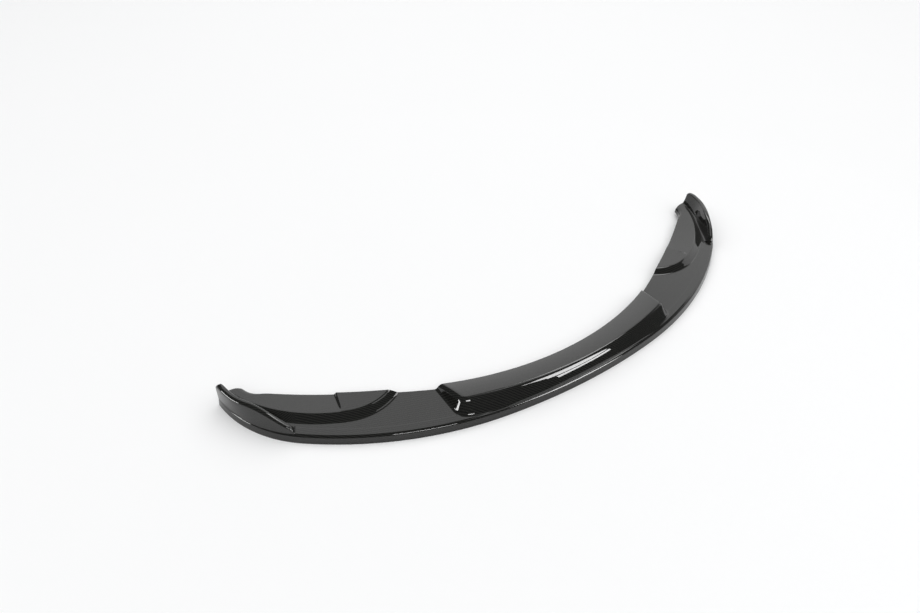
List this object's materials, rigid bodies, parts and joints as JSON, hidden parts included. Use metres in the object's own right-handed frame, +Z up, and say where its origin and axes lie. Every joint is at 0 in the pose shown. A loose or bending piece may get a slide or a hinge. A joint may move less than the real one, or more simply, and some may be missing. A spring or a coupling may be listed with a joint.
{
  "type": "front splitter lip",
  "caption": "Curved one-piece car front splitter lip in glossy woven carbon fibre, with a raised centre pad, outer pads and upswept end fins.",
  "frame": {"origin": "centre of the bounding box in plan, on the plane that the lower edge rests on", "axes": "+X to the part's right-hand end seen from the front, +Y to the rear, towards the car, +Z up"},
  "size_m": [1.619, 0.4299, 0.073],
  "materials": {
    "carbon": "twill carbon fibre under a clear high-gloss coat"
  },
  "bodies": {
    "root": {"splitter_lip": "carbon"}
  },
  "joints": []
}
